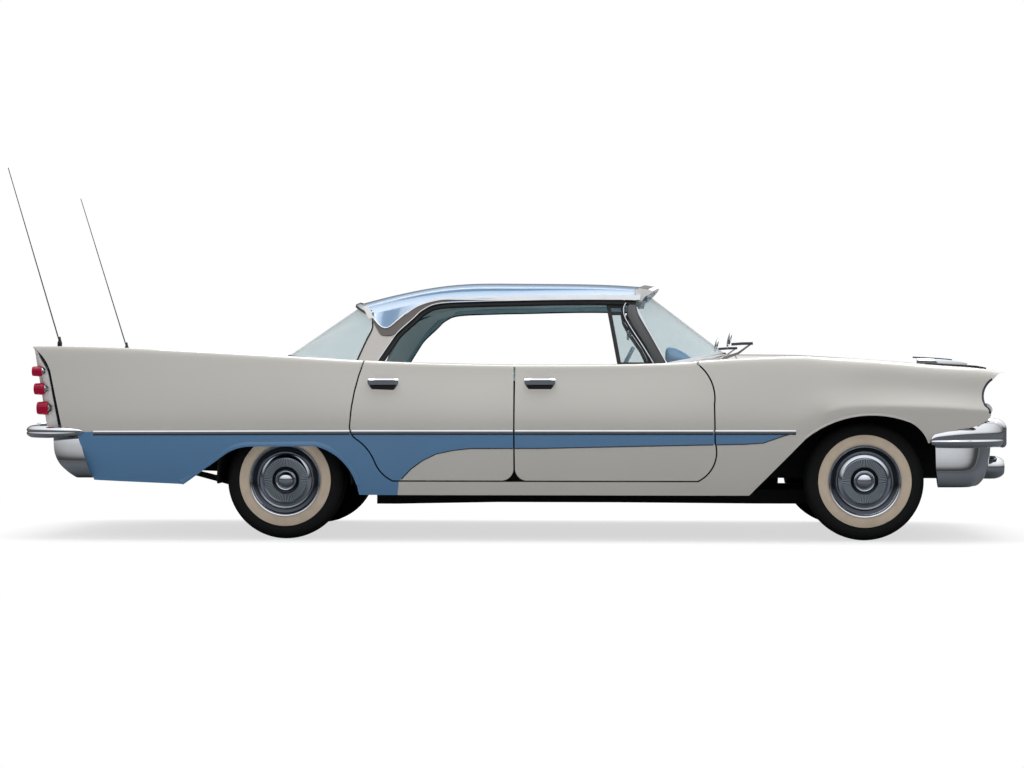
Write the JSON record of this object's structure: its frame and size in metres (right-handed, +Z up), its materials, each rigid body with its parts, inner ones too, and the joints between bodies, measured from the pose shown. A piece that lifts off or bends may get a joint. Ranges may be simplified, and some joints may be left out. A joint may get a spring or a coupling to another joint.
{
  "type": "four-door hardtop car",
  "caption": "Full-size 1950s four-door hardtop car with tall tail fins, opening doors, hood and trunk lid, and wheels that roll and steer.",
  "frame": {"origin": "on the ground, below the middle of the whole car's box, antennas included", "axes": "+X forward, +Y to the car's left, +Z up"},
  "size_m": [5.5768, 1.986, 2.0717],
  "materials": {
    "cream_paint": "gloss",
    "blue_paint": "gloss",
    "chrome": "polished",
    "wheel_steel": "polished",
    "tyre_rubber": "matt",
    "underbody_black": "matt",
    "cast_metal": "cast",
    "clear_glass": "clear",
    "lamp_glass": "clear",
    "red_lens": "clear",
    "blue_trim": "grained",
    "wheel_plastic": "gloss"
  },
  "bodies": {
    "body": {"fender_left": "cream_paint", "fender_right": "cream_paint", "quarter_panel_left": "cream_paint", "quarter_panel_right": "cream_paint", "cowl": "cream_paint", "nose_panel": "underbody_black", "trunk_well": "cream_paint", "floor_pan": "underbody_black", "roof": "blue_paint", "windshield": "clear_glass", "backlight": "clear_glass", "front_bumper": "chrome", "rear_bumper": "chrome", "grille": "chrome", "headlamps": "lamp_glass", "tail_lamps": "red_lens", "frame_rails": "underbody_black", "front_suspension": "underbody_black", "rear_axle": "underbody_black", "engine": "cast_metal", "front_seat": "blue_trim", "rear_seat": "blue_trim", "dashboard": "blue_trim", "mirrors": "chrome", "antennas": "chrome", "fender_spears": "chrome"},
    "hood": {"hood": "cream_paint", "hood_ornament": "chrome"},
    "trunk_lid": {"trunk_lid": "cream_paint"},
    "steering_wheel": {"steering_wheel": "wheel_plastic"},
    "front_door_left": {"door_front_left": "cream_paint", "vent_window_left": "clear_glass"},
    "rear_door_left": {"door_rear_left": "cream_paint"},
    "knuckle_left": {"knuckle_left": "cast_metal"},
    "front_wheel_left": {"wheel_front_left": "wheel_steel", "tyre_front_left": "tyre_rubber"},
    "rear_wheel_left": {"wheel_rear_left": "wheel_steel", "tyre_rear_left": "tyre_rubber"},
    "front_door_right": {"door_front_right": "cream_paint", "vent_window_right": "clear_glass"},
    "rear_door_right": {"door_rear_right": "cream_paint"},
    "knuckle_right": {"knuckle_right": "cast_metal"},
    "front_wheel_right": {"wheel_front_right": "wheel_steel", "tyre_front_right": "tyre_rubber"},
    "rear_wheel_right": {"wheel_rear_right": "wheel_steel", "tyre_rear_right": "tyre_rubber"}
  },
  "joints": [
    {"name": "front_door_left_hinge", "type": "hinge", "parent": "body", "child": "front_door_left", "pos_m": [1.07043, 0.975, 0.65], "axis": [0, 0, -1], "range_deg": [0, 65]},
    {"name": "rear_door_left_hinge", "type": "hinge", "parent": "body", "child": "rear_door_left", "pos_m": [-0.00157, 0.975, 0.65], "axis": [0, 0, -1], "range_deg": [0, 65]},
    {"name": "front_door_right_hinge", "type": "hinge", "parent": "body", "child": "front_door_right", "pos_m": [1.07043, -0.975, 0.65], "axis": [0, 0, 1], "range_deg": [0, 65]},
    {"name": "rear_door_right_hinge", "type": "hinge", "parent": "body", "child": "rear_door_right", "pos_m": [-0.00157, -0.975, 0.65], "axis": [0, 0, 1], "range_deg": [0, 65]},
    {"name": "hood_hinge", "type": "hinge", "parent": "body", "child": "hood", "pos_m": [1.30743, 0, 1.04], "axis": [0, -1, 0], "range_deg": [0, 50]},
    {"name": "trunk_hinge", "type": "hinge", "parent": "body", "child": "trunk_lid", "pos_m": [-1.39557, 0, 1.024], "axis": [0, 1, 0], "range_deg": [0, 55]},
    {"name": "steering_left", "type": "hinge", "parent": "body", "child": "knuckle_left", "pos_m": [1.97043, 0.63, 0.328], "axis": [0, 0, 1], "range_deg": [-30, 30]},
    {"name": "steering_right", "type": "hinge", "parent": "body", "child": "knuckle_right", "pos_m": [1.97043, -0.63, 0.328], "axis": [0, 0, 1], "range_deg": [-30, 30]},
    {"name": "steering_wheel_turn", "type": "hinge", "parent": "body", "child": "steering_wheel", "pos_m": [0.61043, 0.39, 0.895], "axis": [-0.8829, 0, 0.4695], "range_deg": [-480, 480]},
    {"name": "front_wheel_left_spin", "type": "hinge", "parent": "knuckle_left", "child": "front_wheel_left", "pos_m": [1.97043, 0.777, 0.328], "axis": [0, 1, 0], "continuous": true},
    {"name": "front_wheel_right_spin", "type": "hinge", "parent": "knuckle_right", "child": "front_wheel_right", "pos_m": [1.97043, -0.777, 0.328], "axis": [0, 1, 0], "continuous": true},
    {"name": "rear_wheel_left_spin", "type": "hinge", "parent": "body", "child": "rear_wheel_left", "pos_m": [-1.22957, 0.762, 0.328], "axis": [0, 1, 0], "continuous": true},
    {"name": "rear_wheel_right_spin", "type": "hinge", "parent": "body", "child": "rear_wheel_right", "pos_m": [-1.22957, -0.762, 0.328], "axis": [0, 1, 0], "continuous": true}
  ],
  "couplings": [
    {"joint": "steering_right", "follows": "steering_left", "ratio": 1},
    {"joint": "steering_wheel_turn", "follows": "steering_left", "ratio": 16}
  ]
}
